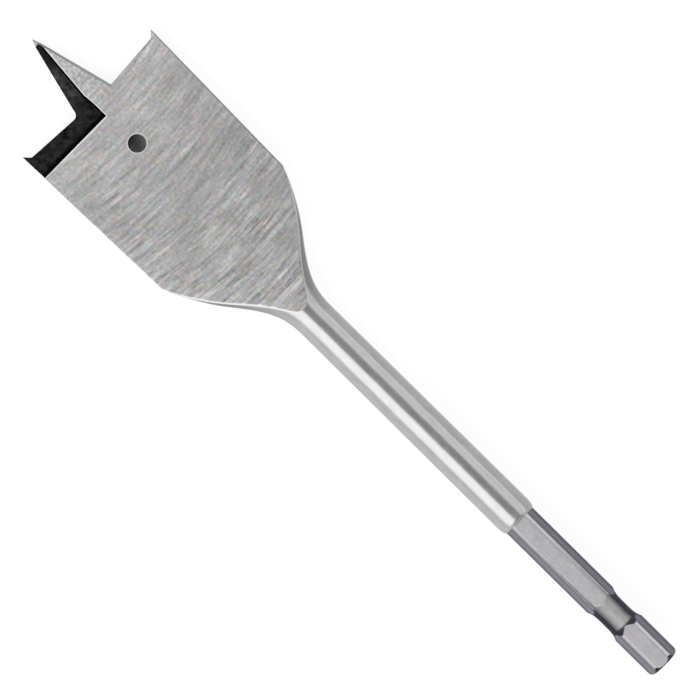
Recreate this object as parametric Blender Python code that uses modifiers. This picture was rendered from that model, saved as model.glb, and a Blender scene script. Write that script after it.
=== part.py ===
"""Spade drill bit for wood: a 35 mm blade on a quarter-inch hex shank.

The bit is one piece of steel. A round bar is forged flat at one end and ground on both faces. The
flat is cut to a centre point, two lips and two spurs, with a hollow behind each cutting edge, and
the other end is brought down to a hex shank with a snap-in groove.

The bit lies flat. The origin is the centre of the shank's end face, +X runs along the axis to the
point and +Z is the normal of the upper blade face. Half a turn about X brings the bit onto itself,
apart from the two root fillets.
"""

import math

import bmesh
import bpy
from mathutils import Matrix

MM = 0.001

# Lengths along the axis, from the shank's end to the tip of the point
SHANK_LENGTH = 39.5 * MM
SHAFT_LENGTH = 54.9 * MM
FLARE_LENGTH = 25.9 * MM
BLADE_LENGTH = 34.8 * MM
POINT_LENGTH = 16.8 * MM

# Hex shank
HEX_SIDES = 6
HEX_ACROSS_FLATS = 6.35 * MM
HEX_CORNER_DIAMETER = 7.05 * MM
HEX_CHAMFER_LENGTH = 0.8 * MM
HEX_CHAMFER_DROP = 0.6 * MM
GROOVE_FROM_END = 13.7 * MM
GROOVE_WIDTH = 7.7 * MM
GROOVE_DIAMETER = 5.6 * MM

# Round shaft, slightly thinner where the blade was forged from it
SHAFT_DIAMETER = 8.2 * MM
NECK_DIAMETER = 7.95 * MM
SHAFT_CHAMFER_LENGTH = 1.8 * MM
SHAFT_CHAMFER_DROP = 0.4 * MM

# Blade, whose width is the hole that it bores
BLADE_WIDTH = 35.0 * MM
BLADE_THICKNESS = 4.0 * MM
SIDE_TAPER = 0.8 * MM
FACE_PAST_SHOULDER = 10.4 * MM
FACE_RUNOUT_RADIUS = 38.0 * MM
HANG_HOLE_DIAMETER = 3.6 * MM
HANG_HOLE_FROM_LIP = 11.9 * MM

# Centre point, lips and spurs
POINT_ROOT_WIDTH = 8.9 * MM
TIP_THICKNESS = 0.4 * MM
TIP_BEVEL_ANGLE = math.radians(40.0)
UPPER_ROOT_FILLET = 1.2 * MM
LOWER_ROOT_FILLET = 0.3 * MM
LIP_RISE = 0.75 * MM
SPUR_HEIGHT = 1.3 * MM
SPUR_WIDTH = 1.2 * MM
SPUR_FILLET = 0.9 * MM
LIP_RELIEF_ANGLE = math.radians(7.0)
FLANK_RELIEF_ANGLE = math.radians(7.0)

# Hollows behind the cutting edges
EDGE_DROP = 0.06 * MM
HOLLOW_FILLET = 0.5 * MM
LIP_HOLLOW_WIDTH = 3.9 * MM
LIP_HOLLOW_FROM_AXIS = 0.4 * MM
LIP_RAKE_ANGLE = math.radians(9.0)
POINT_RAKE_ANGLE = math.radians(9.0)
POINT_HOLLOW_ANGLE = math.radians(5.2)
POINT_HOLLOW_CROSSING = 8.2 * MM
POINT_HOLLOW_PAST_LIP = 2.4 * MM

# Outline of the flare as (share of its length, share of its drop, slope in those shares),
# from the shoulder down to the neck
FLARE_CURVE = ((0.0, 1.0, -0.75), (0.48, 0.453, -1.61), (0.82, 0.041, -0.55), (1.0, 0.0, 0.0))

# The forging's section is a superellipse: round at the neck, square at the blade's sides
ROUND_EXPONENT = 2.0
SQUARE_EXPONENT = 8.0
SQUARING_POWER = 4.5

# Facets of the round forms
SECTION_SIDES = 96
FLARE_STEPS = 40
TURNED_STEPS = 48
ARC_STEPS = 12
FILLET_STEPS = 4
HOLE_SIDES = 40
SMOOTH_ANGLE = math.radians(30.0)

# How far a cutter runs past what it cuts, and how far the shank runs into the shaft
REACH = 4.0 * MM
SHANK_OVERLAP = 6.0 * MM
MERGE_DISTANCE = 0.001 * MM

STEEL_COLOUR = (0.56, 0.56, 0.55, 1.0)
STEEL_ROUGHNESS = 0.34

# Places along the axis
X_SHAFT = SHANK_LENGTH
X_NECK = X_SHAFT + SHAFT_LENGTH
X_SHOULDER = X_NECK + FLARE_LENGTH
X_LIP = X_SHOULDER + BLADE_LENGTH
X_SPUR = X_LIP + LIP_RISE + SPUR_HEIGHT
X_TIP = X_LIP + POINT_LENGTH
FACE_Z = BLADE_THICKNESS / 2

# Slopes of the relieved flanks, and of the point's flank seen from above
LIP_RELIEF = math.tan(LIP_RELIEF_ANGLE)
FLANK_RELIEF = math.tan(FLANK_RELIEF_ANGLE)
FLANK_SLOPE = (POINT_ROOT_WIDTH / 2 - FLANK_RELIEF * FACE_Z) / POINT_LENGTH


def clear_scene():
    for thing in list(bpy.data.objects):
        bpy.data.objects.remove(thing, do_unlink=True)


def new_collection(name):
    collection = bpy.data.collections.new(name)
    bpy.context.scene.collection.children.link(collection)
    return collection


def steel():
    """Bright ground steel."""
    material = bpy.data.materials.new("ground_steel")
    material.use_nodes = True
    shader = material.node_tree.nodes["Principled BSDF"]
    shader.inputs["Base Color"].default_value = STEEL_COLOUR
    shader.inputs["Metallic"].default_value = 1.0
    shader.inputs["Roughness"].default_value = STEEL_ROUGHNESS
    return material


def add_object(name, mesh, collection):
    thing = bpy.data.objects.new(name, mesh)
    collection.objects.link(thing)
    return thing


def move_to(thing, collection):
    for owner in list(thing.users_collection):
        owner.objects.unlink(thing)
    collection.objects.link(thing)


def as_cutter(thing):
    thing.hide_render = True
    thing.display_type = "WIRE"
    return thing


def smooth(mesh):
    mesh.shade_smooth()
    mesh.set_sharp_from_angle(angle=SMOOTH_ANGLE)


def finished_mesh(thing):
    """The mesh of an object as its modifiers or its curve settings leave it."""
    bpy.context.view_layer.update()
    evaluated = thing.evaluated_get(bpy.context.evaluated_depsgraph_get())
    return bpy.data.meshes.new_from_object(evaluated)


def loft(name, rings):
    """A closed mesh through rings of equally many points, with a flat cap at each end."""
    bm = bmesh.new()
    rows = [[bm.verts.new(point) for point in ring] for ring in rings]
    count = len(rows[0])
    for near, far in zip(rows, rows[1:]):
        for i in range(count):
            j = (i + 1) % count
            bm.faces.new((near[i], near[j], far[j], far[i]))
    bm.faces.new(rows[0])
    bm.faces.new(rows[-1])
    bmesh.ops.recalc_face_normals(bm, faces=bm.faces)
    mesh = bpy.data.meshes.new(name)
    bm.to_mesh(mesh)
    bm.free()
    return mesh


def hermite(u, start, end):
    """A cubic from start to end, each given as place, value and slope."""
    span = end[0] - start[0]
    t = (u - start[0]) / span
    start_share = 2 * t**3 - 3 * t**2 + 1
    value = start_share * start[1] + (1 - start_share) * end[1]
    return value + span * ((t**3 - 2 * t**2 + t) * start[2] + (t**3 - t**2) * end[2])


def side_half_width(x):
    """Half the blade's width at x: full at the spurs and less behind, so that the sides don't rub."""
    return BLADE_WIDTH / 2 - SIDE_TAPER * (X_SPUR - x) / (X_SPUR - X_SHOULDER)


def half_width(x):
    """Half the forging's width at x."""
    if x <= X_NECK:
        share = (x - X_SHAFT) / SHAFT_LENGTH
        return (SHAFT_DIAMETER + (NECK_DIAMETER - SHAFT_DIAMETER) * share) / 2
    if x >= X_SHOULDER:
        return side_half_width(x)
    u = (X_SHOULDER - x) / FLARE_LENGTH
    spans = zip(FLARE_CURVE, FLARE_CURVE[1:])
    start, end = next(pair for pair in spans if u <= pair[1][0])
    drop = side_half_width(X_SHOULDER) - NECK_DIAMETER / 2
    return NECK_DIAMETER / 2 + drop * hermite(u, start, end)


def half_height(x):
    return half_width(min(x, X_NECK))


def exponent(x):
    """The superellipse's exponent at x, which falls off quickly behind the shoulder."""
    u = min(max((X_SHOULDER - x) / FLARE_LENGTH, 0.0), 1.0)
    return ROUND_EXPONENT + (SQUARE_EXPONENT - ROUND_EXPONENT) * (1 - u) ** SQUARING_POWER


def section(x, width, height, power):
    """A ring of points on a superellipse, with an upright facet at each side."""
    ring = []
    for i in range(SECTION_SIDES):
        angle = 2 * math.pi * (i + 0.5) / SECTION_SIDES
        along, up = math.cos(angle), math.sin(angle)
        y = math.copysign(abs(along) ** (2 / power), along) * width
        z = math.copysign(abs(up) ** (2 / power), up) * height
        ring.append((x, y, z))
    return ring


def forging_mesh():
    """The bar before grinding: a chamfered round shaft that flares to the blade's width."""
    end_radius = half_width(X_SHAFT) - SHAFT_CHAMFER_DROP
    rings = [section(X_SHAFT, end_radius, end_radius, ROUND_EXPONENT)]
    flare = [X_NECK + FLARE_LENGTH * i / FLARE_STEPS for i in range(FLARE_STEPS + 1)]
    for x in [X_SHAFT + SHAFT_CHAMFER_LENGTH, *flare, X_TIP + REACH]:
        rings.append(section(x, half_width(x), half_height(x), exponent(x)))
    mesh = loft("forging", rings)
    smooth(mesh)
    return mesh


def plate(name, outline, half_depth, collection):
    """A flat outline given as (x, z) points, extruded half_depth to each side along Y."""
    curve = bpy.data.curves.new(name, "CURVE")
    curve.dimensions = "2D"
    curve.fill_mode = "BOTH"
    curve.extrude = half_depth
    spline = curve.splines.new("POLY")
    spline.points.add(len(outline) - 1)
    for point, (x, z) in zip(spline.points, outline):
        point.co = (x, z, 0.0, 1.0)
    spline.use_cyclic_u = True
    guide = add_object(name, curve, collection)
    guide.rotation_euler.x = math.pi / 2
    mesh = finished_mesh(guide)
    bm = bmesh.new()
    bm.from_mesh(mesh)
    bmesh.ops.remove_doubles(bm, verts=bm.verts, dist=MERGE_DISTANCE)
    bmesh.ops.recalc_face_normals(bm, faces=bm.faces)
    bm.to_mesh(mesh)
    bm.free()
    mesh.shade_flat()
    solid = add_object(name, mesh, collection)
    solid.matrix_world = guide.matrix_world
    bpy.data.objects.remove(guide, do_unlink=True)
    return solid


def face_grind(collection):
    """What grinding takes off the upper face: the flat, the wheel's run-out and the tip's bevel."""
    top_z = SHAFT_DIAMETER / 2 + REACH
    tip_z = TIP_THICKNESS / 2
    runout_x = X_SHOULDER - FACE_PAST_SHOULDER
    bevel_slope = math.tan(TIP_BEVEL_ANGLE)
    outline = [(X_TIP - (FACE_Z - tip_z) / bevel_slope, FACE_Z)]
    runout_angle = math.acos(1 - (top_z - FACE_Z) / FACE_RUNOUT_RADIUS)
    for i in range(ARC_STEPS + 1):
        angle = runout_angle * i / ARC_STEPS
        x = runout_x - FACE_RUNOUT_RADIUS * math.sin(angle)
        outline.append((x, FACE_Z + FACE_RUNOUT_RADIUS * (1 - math.cos(angle))))
    front_x = X_TIP + 2 * REACH
    outline.append((front_x, top_z))
    outline.append((front_x, tip_z - (front_x - X_TIP) * bevel_slope))
    return as_cutter(plate("upper_face_grind", outline, BLADE_WIDTH / 2 + REACH, collection))


def arc_corner(before, corner, after, radius):
    """Points of an arc of this radius that touches both legs of a corner."""
    legs = []
    for end in (before, after):
        run = (end[0] - corner[0], end[1] - corner[1])
        length = math.hypot(*run)
        legs.append((run[0] / length, run[1] / length))
    half = math.acos(legs[0][0] * legs[1][0] + legs[0][1] * legs[1][1]) / 2
    middle = (legs[0][0] + legs[1][0], legs[0][1] + legs[1][1])
    scale = radius / math.sin(half) / math.hypot(*middle)
    centre = (corner[0] + middle[0] * scale, corner[1] + middle[1] * scale)
    touch = radius / math.tan(half)
    angles = []
    for leg in legs:
        run = (corner[0] + leg[0] * touch - centre[0], corner[1] + leg[1] * touch - centre[1])
        angles.append(math.atan2(run[1], run[0]))
    turn = (angles[1] - angles[0] + math.pi) % (2 * math.pi) - math.pi
    points = []
    for i in range(ARC_STEPS + 1):
        angle = angles[0] + turn * i / ARC_STEPS
        points.append((centre[0] + radius * math.cos(angle), centre[1] + radius * math.sin(angle)))
    return points


def nose_outlines(root_fillet):
    """The cut-out between point and spur, as the flank's points and then the lip's, on the face
    that holds the cutting edges."""
    front_x = X_TIP + REACH
    outer_y = BLADE_WIDTH / 2 + REACH
    tip_y = FLANK_RELIEF * FACE_Z
    flank_start = (front_x, tip_y - FLANK_SLOPE * REACH)
    root = (X_LIP, POINT_ROOT_WIDTH / 2)
    spur_base = (X_LIP + LIP_RISE, BLADE_WIDTH / 2 - SPUR_WIDTH)
    spur_end = (X_SPUR + REACH * SPUR_HEIGHT / SPUR_WIDTH, outer_y)
    flank = [flank_start, *arc_corner(flank_start, root, spur_base, root_fillet)]
    lip = [*arc_corner(root, spur_base, spur_end, SPUR_FILLET), spur_end, (front_x, outer_y)]
    return flank, lip


def nose_cut(name, root_fillet, collection):
    """The cut-out beside the point. Its walls lean back under each edge by the relief angles."""
    flank, lip = nose_outlines(root_fillet)
    flank_drift = FLANK_RELIEF - LIP_RELIEF * FLANK_SLOPE
    rings = []
    for z in (FACE_Z + REACH, -FACE_Z - REACH):
        depth = FACE_Z - z
        ring = [(x - LIP_RELIEF * depth, y - flank_drift * depth, z) for x, y in flank]
        ring += [(x - LIP_RELIEF * depth, y, z) for x, y in lip]
        rings.append(ring)
    return as_cutter(add_object(name, loft(name, rings), collection))


def wheel_box(name, low, high, collection):
    """A box for a grinding wheel's path, whose two edges along its floor's low sides are rounded."""
    bm = bmesh.new()
    bmesh.ops.create_cube(bm, size=1.0)
    for vert in bm.verts:
        for axis in range(3):
            vert.co[axis] = high[axis] if vert.co[axis] > 0 else low[axis]
    floor = [v for v in bm.verts if v.co.z < (low[2] + high[2]) / 2]
    edges = []
    for edge in bm.edges:
        if all(v in floor for v in edge.verts):
            middle = (edge.verts[0].co + edge.verts[1].co) / 2
            if abs(middle.x - low[0]) < MERGE_DISTANCE or abs(middle.y - low[1]) < MERGE_DISTANCE:
                edges.append(edge)
    bmesh.ops.bevel(
        bm, geom=edges, offset=HOLLOW_FILLET, segments=FILLET_STEPS, profile=0.5, affect="EDGES"
    )
    mesh = bpy.data.meshes.new(name)
    bm.to_mesh(mesh)
    bm.free()
    return as_cutter(add_object(name, mesh, collection))


def lip_hollow(collection):
    """The hollow behind the upper lip: a floor that sinks away from the spur's tip, up to a wall
    square to the floor, which meets the face LIP_HOLLOW_WIDTH behind the root of the lip."""
    slope = math.tan(LIP_RAKE_ANGLE)
    wall_x = X_LIP - LIP_HOLLOW_WIDTH
    depth = (EDGE_DROP + (X_SPUR - wall_x) * slope) / (1 + slope**2)
    length = X_SPUR - wall_x + REACH
    low = (0.0, LIP_HOLLOW_FROM_AXIS, 0.0)
    high = (length, BLADE_WIDTH / 2 + REACH, depth + REACH)
    box = wheel_box("upper_lip_hollow", low, high, collection)
    box.location = (wall_x + depth * slope, 0.0, FACE_Z - depth)
    box.rotation_euler.y = -LIP_RAKE_ANGLE
    return box


def point_hollow(collection):
    """The hollow along the point's upper edge. Its wall crosses the axis behind the tip."""
    slope = math.tan(POINT_RAKE_ANGLE)
    cos_turn = math.cos(POINT_HOLLOW_ANGLE)
    sin_turn = math.sin(POINT_HOLLOW_ANGLE)
    crossing_to_root = POINT_LENGTH - POINT_HOLLOW_CROSSING
    reach_to_edge = POINT_ROOT_WIDTH / 2 * cos_turn - crossing_to_root * sin_turn
    depth = (EDGE_DROP + reach_to_edge * slope) / (1 + slope**2)
    low = (-(crossing_to_root + POINT_HOLLOW_PAST_LIP) / cos_turn, 0.0, 0.0)
    high = (POINT_HOLLOW_CROSSING + 2 * REACH, reach_to_edge + REACH, depth + REACH)
    box = wheel_box("upper_point_hollow", low, high, collection)
    shift = depth * slope
    box.location = (X_TIP - POINT_HOLLOW_CROSSING + shift * sin_turn, shift * cos_turn, FACE_Z - depth)
    box.rotation_euler = (POINT_RAKE_ANGLE, 0.0, -POINT_HOLLOW_ANGLE)
    return box


def turned_over(tool, collection):
    """The same cutter for the lower side: a copy after half a turn about X."""
    copy = add_object(tool.name.replace("upper", "lower"), tool.data, collection)
    copy.matrix_world = Matrix.Rotation(math.pi, 4, "X") @ tool.matrix_world
    return as_cutter(copy)


def hang_hole(collection):
    bpy.ops.mesh.primitive_cylinder_add(
        vertices=HOLE_SIDES,
        radius=HANG_HOLE_DIAMETER / 2,
        depth=BLADE_THICKNESS + 2 * REACH,
        location=(X_LIP - HANG_HOLE_FROM_LIP, 0.0, 0.0),
    )
    hole = bpy.context.active_object
    hole.name = "hang_hole"
    smooth(hole.data)
    move_to(hole, collection)
    return as_cutter(hole)


def shank_envelope(collection):
    """The turned limit of the hex: eased corners, the groove and the end's chamfer."""
    corner = HEX_CORNER_DIAMETER / 2
    far_x = X_SHAFT + SHANK_OVERLAP
    sagitta = corner - GROOVE_DIAMETER / 2
    groove_radius = ((GROOVE_WIDTH / 2) ** 2 + sagitta**2) / (2 * sagitta)
    half_angle = math.asin(GROOVE_WIDTH / 2 / groove_radius)
    profile = [(0.0, far_x), (corner, far_x)]
    for i in range(ARC_STEPS + 1):
        angle = half_angle * (1 - 2 * i / ARC_STEPS)
        radius = GROOVE_DIAMETER / 2 + groove_radius * (1 - math.cos(angle))
        profile.append((radius, GROOVE_FROM_END + groove_radius * math.sin(angle)))
    profile += [(corner, HEX_CHAMFER_LENGTH), (corner - HEX_CHAMFER_DROP, 0.0), (0.0, 0.0)]
    mesh = bpy.data.meshes.new("shank_profile")
    points = [(radius, 0.0, x) for radius, x in profile]
    mesh.from_pydata(points, [(i, i + 1) for i in range(len(points) - 1)], [])
    envelope = add_object("shank_envelope", mesh, collection)
    envelope.rotation_euler.y = math.pi / 2
    turn = envelope.modifiers.new("turn", "SCREW")
    turn.steps = TURNED_STEPS
    turn.render_steps = TURNED_STEPS
    turn.use_merge_vertices = True
    turn.merge_threshold = MERGE_DISTANCE
    envelope.data = finished_mesh(envelope)
    envelope.modifiers.clear()
    smooth(envelope.data)
    return as_cutter(envelope)


def hex_shank(collection):
    """The hex bar, flats level with the blade faces, held within its turned envelope."""
    length = X_SHAFT + SHANK_OVERLAP + 2 * REACH
    bpy.ops.mesh.primitive_cylinder_add(
        vertices=HEX_SIDES,
        radius=HEX_ACROSS_FLATS / 2 / math.cos(math.pi / HEX_SIDES),
        depth=length,
        location=(length / 2 - REACH, 0.0, 0.0),
        rotation=(0.0, math.pi / 2, 0.0),
    )
    shank = bpy.context.active_object
    shank.name = "hex_shank"
    move_to(shank, collection)
    trim = shank.modifiers.new("turned_limit", "BOOLEAN")
    trim.operation = "INTERSECT"
    trim.object = shank_envelope(collection)
    return as_cutter(shank)


def cut(thing, cutter, operation="DIFFERENCE"):
    step = thing.modifiers.new(cutter.name, "BOOLEAN")
    step.operation = operation
    step.solver = "EXACT"
    step.object = cutter


def build():
    clear_scene()
    part = new_collection("spade_bit")
    cutters = new_collection("cutters")
    bit = add_object("spade_bit", forging_mesh(), part)
    bit.data.materials.append(steel())
    lower_nose = nose_cut("lower_nose", LOWER_ROOT_FILLET, cutters)
    lower_nose.rotation_euler.x = math.pi
    noses = [nose_cut("upper_nose", UPPER_ROOT_FILLET, cutters), lower_nose]
    grinds = [face_grind(cutters), lip_hollow(cutters), point_hollow(cutters)]
    bpy.context.view_layer.update()
    grinds += [turned_over(tool, cutters) for tool in grinds]
    for tool in [*grinds, *noses, hang_hole(cutters)]:
        cut(bit, tool)
    cut(bit, hex_shank(cutters), "UNION")


build()
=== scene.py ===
"""Looks of a spade drill bit, which lies flat and is seen from straight above.

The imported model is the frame. Its one solid is replaced by three surfaces in the same place: the forged
body (shaft, flare and the rear of the blade), the hex shank and the cutting nose. The origin is the
centre of the shank's end, +X runs to the point and +Z is the normal of the blade face in view.
"""

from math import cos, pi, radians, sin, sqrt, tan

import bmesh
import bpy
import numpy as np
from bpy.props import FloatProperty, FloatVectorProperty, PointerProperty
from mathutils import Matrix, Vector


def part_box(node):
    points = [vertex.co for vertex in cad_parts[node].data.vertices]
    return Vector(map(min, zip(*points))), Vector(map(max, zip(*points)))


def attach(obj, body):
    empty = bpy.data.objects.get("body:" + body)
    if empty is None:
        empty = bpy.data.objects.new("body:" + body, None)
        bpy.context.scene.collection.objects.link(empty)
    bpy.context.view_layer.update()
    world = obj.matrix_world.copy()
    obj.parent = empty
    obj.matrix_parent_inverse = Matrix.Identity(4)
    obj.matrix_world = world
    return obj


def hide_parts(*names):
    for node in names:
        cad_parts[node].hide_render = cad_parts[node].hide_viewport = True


bl_info = {
    "name": "Spade drill bit",
    "version": (1, 0, 0),
    "blender": (4, 5, 0),
    "location": "3D Viewport > Sidebar > Spade bit",
    "description": "Surfaces, steel finishes and studio of a spade drill bit",
    "category": "Add Mesh",
}

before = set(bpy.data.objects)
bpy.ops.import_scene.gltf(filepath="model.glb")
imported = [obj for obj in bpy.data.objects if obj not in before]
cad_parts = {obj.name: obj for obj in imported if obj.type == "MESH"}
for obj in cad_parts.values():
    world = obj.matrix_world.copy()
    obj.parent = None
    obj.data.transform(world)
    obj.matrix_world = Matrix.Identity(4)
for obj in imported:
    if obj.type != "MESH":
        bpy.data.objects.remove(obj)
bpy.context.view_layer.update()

NODE = "spade_bit"
BODY = "root"
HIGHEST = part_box(NODE)[1]
TIP_X = HIGHEST.x
BLADE_HALF_WIDTH = HIGHEST.y
SHAFT_RADIUS = HIGHEST.z
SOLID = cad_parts[NODE].data
MERGE_DISTANCE = 2e-6

# Outline of the flare as (share of its length, share of its drop, slope in those shares), from the
# blade's shoulder down to the neck
FLARE_CURVE = ((0.0, 1.0, -0.75), (0.48, 0.453, -1.61), (0.82, 0.041, -0.55), (1.0, 0.0, 0.0))

# The forging's section is a superellipse: round at the neck, square at the blade's sides
ROUND_EXPONENT = 2.0
SQUARE_EXPONENT = 8.0
SQUARING_POWER = 4.5

# The faces' broken edges narrow, and their rolls fade, where the face's height nears the forging's
FACE_MARGIN = 0.00025
ROLL_GROWTH = 0.005
ROLL_HEIGHTS = (0.7, 0.93)
NARROW_HEIGHTS = (0.6, 0.9)
NARROW_SHARE = 0.2

# Points along and around the surfaces
SHOULDER_RINGS = 16
SHAFT_RINGS = 14
NECK_RINGS = 8
FLARE_RINGS = 150
FLARE_RING_POWER = 1.6
BLADE_RINGS = 12
INNER_RING_SCALE = 0.6
SIDE_COLUMNS = 44
BREAK_COLUMNS = 8
FACE_COLUMNS = 20
HEX_SIDES = 6
FLAT_COLUMNS = 12
CORNER_COLUMNS = 6
GROOVE_RINGS = 60
CORNER_RINGS = 16
END_RINGS = 9
FLOOR_RINGS = 60
FLOOR_COLUMNS = 96

# Angles and widths by which the nose's edges are joined, broken and kept sharp
SMOOTH_ANGLE = radians(17.0)
CREASE_ANGLE = radians(3.0)
FILLET_ANGLE = radians(35.0)
FLAT_ANGLE = radians(0.3)
BREAK_ANGLE = radians(24.0)
STRIP_WIDTH = 0.0005
BREAK_SEGMENTS = 3

# Tests that find the hollows, the chisel tip, the blade's sides and the hang hole
HOLLOW_DEPTH_TEST = 0.00001
HOLLOW_SLOPE_TEST = 0.05
HOLLOW_SIDE_TEST = -0.3
HOLLOW_PAST_AXIS = 0.0009
FLOOR_SLOPE_TEST = 0.96
CHISEL_REACH = 0.003
CHISEL_TEST = 0.5
SIDE_TEST = 0.95
HANG_HOLE = (0.1432, 0.0, -0.003)
HANG_HOLE_RADIUS = 0.00185

# The hex's painted light and shade and its tones, by angles round the axis, and the attributes that carry
# them
ATTRIBUTES = ("painted_light_share", "groove_share", "tone")
FLAT_END = radians(36.0)
SHADE_START = radians(41.0)
GROOVE_LIGHT_END = radians(18.0)
GROOVE_SHADE_START = radians(48.0)
GROOVE_TURN = radians(25.0)
LIT_CORNER_START = radians(22.0)
SHADED_CORNER_START = radians(24.6)
CORNER_TURN = radians(2.5)
CREASE_START = radians(8.0)
CREASE_TURN = radians(12.0)
REAR_FLANK = (0.6, 0.74)
LIT_CORNER_TONE = 0.6
SHADED_CORNER_TONE = 0.8
LIT_SIDE_TONE = 1.4
CREASE_SHADE = 0.5
END_TONE = 1.2

# Noises as cycles per metre along each axis, and octaves
NOISE_ROUGHNESS = 0.6
GRIND_BANDS = ((1200.0, 115.0, 500.0), 2.0)
GRIND_SCRATCHES = ((2900.0, 330.0, 1500.0), 2.0)
GRIND_PATCHES = ((110.0, 90.0, 90.0), 1.0)
GROUND_SPECKLE = ((1500.0,) * 3, 2.0)
GROUND_GRAIN = ((1300.0,) * 3, 1.0)
TURNED_LINES = ((3200.0, 60.0, 60.0), 2.0)
TURNED_CLOUDS = ((350.0, 600.0, 600.0), 3.0)
SHANK_BLOTCHES = ((420.0, 700.0, 700.0), 3.0)
SHANK_MARKS = ((900.0, 2500.0, 2500.0), 2.0)
COAT_GRAIN = ((900.0,) * 3, 3.0)
WALL_GRAIN = ((1300.0,) * 3, 3.0)

# Ramps as (value at the start, value at the stop, start, stop). Those of two values alone run over
# the part of a noise where most of it lies
MARKS_IN_PATCHES = (0.55, 1.0, 0.35, 0.6)
MARKS_ALONG = (1.35, 0.8, 0.1, 0.15)
SPECKLE_ALONG = (0.7, 1.6, 0.152, 0.158)
LIGHTER_ALONG = (1.0, 1.25, 0.132, 0.165)
# The blade gets darker at the chisel tip
DARKER_TIP = (1.0, 0.6, 0.1698, 0.1712)
ON_FACE = (0.0, 1.0, 0.3, 0.6)
# Where the highlights painted on the rims and the painted shade line lie
WALL_RIM = (1.0, 0.35, 0.010, 0.0165)
HOLE_RIM = (0.5, 0.0, 0.00195, 0.00215)
SIDE_LINE_Y = (0.0167, 0.0175, 0.1203, 0.15715)
SIDE_LINE = (1.0, 0.0, 0.00012, 0.0003)
# Ramp of the hex's share of painted light
PAINTED_LIGHT_RAMP = (0.0, 1.0, 0.1, 0.85)
OFF_END_FACE = (0.0, 1.0, -0.98, -0.9)
# The coat is lighter half way along the point
LIGHTER_POINT_COAT = (1.0, 2.6, 0.0, 1.0)
# Painted shade on the coat at the foot of the wall
WALL_FOOT_SHADE = (0.1, 1.0, 0.1519, 0.1524)
# Where the shadow painted under the hang hole fades out, and where the floor's glow comes back
CLEAR_OF_HOLE_SHADOW = (0.0, 1.0, 0.001, 0.0048)
FLOOR_GLOW = (0.0, 0.78, 0.004, 0.009)
GROUND_ROUGHNESS = (0.36, 0.46)
CLOUD_SHADE = (0.93, 1.07)
CLOUD_ROUGHNESS = (0.21, 0.27)
SCALE_SHADE = (0.9, 1.1)
BLOTCH_ROUGHNESS = (0.42, 0.34)
COAT_SHADE = (0.05, 1.95)
WALL_SHADE = (0.5, 1.5)

# Depths of the bumps
GRIND_DEPTH = 0.00003
TURNED_DEPTH = 0.000003
SHANK_DEPTH = 0.000008
COAT_DEPTH = 0.00002

# The ground faces: radius of the wheel's arcs, and shares and colours of their marks, of the highlights
# painted on their rims and of their painted shade line
GRIND_RADIUS = 0.1
SCRATCH_SHARE = 0.45
MARK_SHADE = 1.7
GRAIN_SHARE = 0.25
# The steep flanks are painted darker as shade
PAINTED_FLANK_SHADE = 0.25
# Strength and colour of the painted shade line along one side of each face
SIDE_LINE_SHADE = 0.5
SIDE_SHADE_COLOUR = (0.05, 0.05, 0.045, 1.0)
# Colour of the highlights painted on the rims
HIGHLIGHT_COLOUR = (0.93, 0.93, 0.94, 1.0)
RIM_WIDTH = 0.00023
RIM_FADE = 0.0001
WALL_X = 0.1512

# The edge of the upper face along the hollow, as (x, y) from the wall's corner to the tip
HOLLOW_EDGE = ((0.154333, 0.0004), (0.156844, 0.000624), (0.168994, -0.000482))

# Painted shade on the flare as (weight of the sideways lean, slopes where it ends, growth along x)
FLARE_SHADE_COLOUR = (0.03, 0.031, 0.034, 1.0)
FLARE_SHADE_BANDS = (
    (0.35, (0.55, 0.85), (0.25, 0.6, 0.093, 0.102)),
    (0.0, (0.45, 0.8), (0.0, 0.6, 0.098, 0.107)),
    (0.9, (0.25, 0.55), (0.0, 0.6, 0.101, 0.106)),
)

# The shank's blotches and rough groove, and the coat's lighter part on the point
BLOTCH_SHARE = 0.2
GROOVE_ROUGHNESS = 0.25
LIGHTER_POINT_X = (0.1585, 0.1635)
LIGHTER_POINT_FADE = 0.0025

# The floor is a flat disc with a raised rim. Under the hang hole a shadow is painted on it: it is darker
# and doesn't glow
FLOOR_FLAT_RADIUS = 1.6
FLOOR_WALL_REACH = 0.9
FLOOR_WALL_HEIGHT = 1.1
REST_MIDDLE_X = 0.101
GLOW_STRENGTH = 1.1
# Centre and colour of the shadow painted on the floor under the hang hole
HOLE_SHADOW_CENTRE = (0.1455, 0.0, -0.003)
HOLE_SHADOW_COLOUR = (0.35, 0.35, 0.36)

# Directions in the picture: right and up, as unit vectors of the frame
PICTURE_TURN = radians(44.634)
PICTURE_RIGHT = Vector((-cos(PICTURE_TURN), -sin(PICTURE_TURN), 0.0))
PICTURE_UP = Vector((sin(PICTURE_TURN), -cos(PICTURE_TURN), 0.0))
PICTURE_MIDDLE = Vector((0.08596, -0.00041, 0.0))
CAMERA_ROLL = radians(2.0)
CAMERA_CLIP = (0.01, 20.0)

# Softboxes as (name, axis and angle of the turn from straight above, roll, angle it spans, length)
LAMP_DISTANCE = 0.8
SOFTBOXES = (
    ("left", "X", -40.0, 0.0, 52.0, 1.6),
    ("right", "X", 53.0, 0.0, 46.0, 1.6),
    ("front", "Y", 58.0, 90.0, 40.0, 0.7),
)

# Nodes are laid out in columns
NODE_ROWS = 8
NODE_WIDTH = 200.0
NODE_HEIGHT = 300.0


def metres(name, description, default):
    """A length that the sidebar shows in the scene's units."""
    return FloatProperty(name=name, description=description, default=default, unit="LENGTH", precision=5)


def colour(name, description, default):
    """A colour without alpha."""
    return FloatVectorProperty(
        name=name, description=description, default=default, subtype="COLOR", min=0.0, max=1.0
    )


def brightness(name, description, default):
    """A brightness, which isn't below nought."""
    return FloatProperty(name=name, description=description, default=default, min=0.0)


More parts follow.
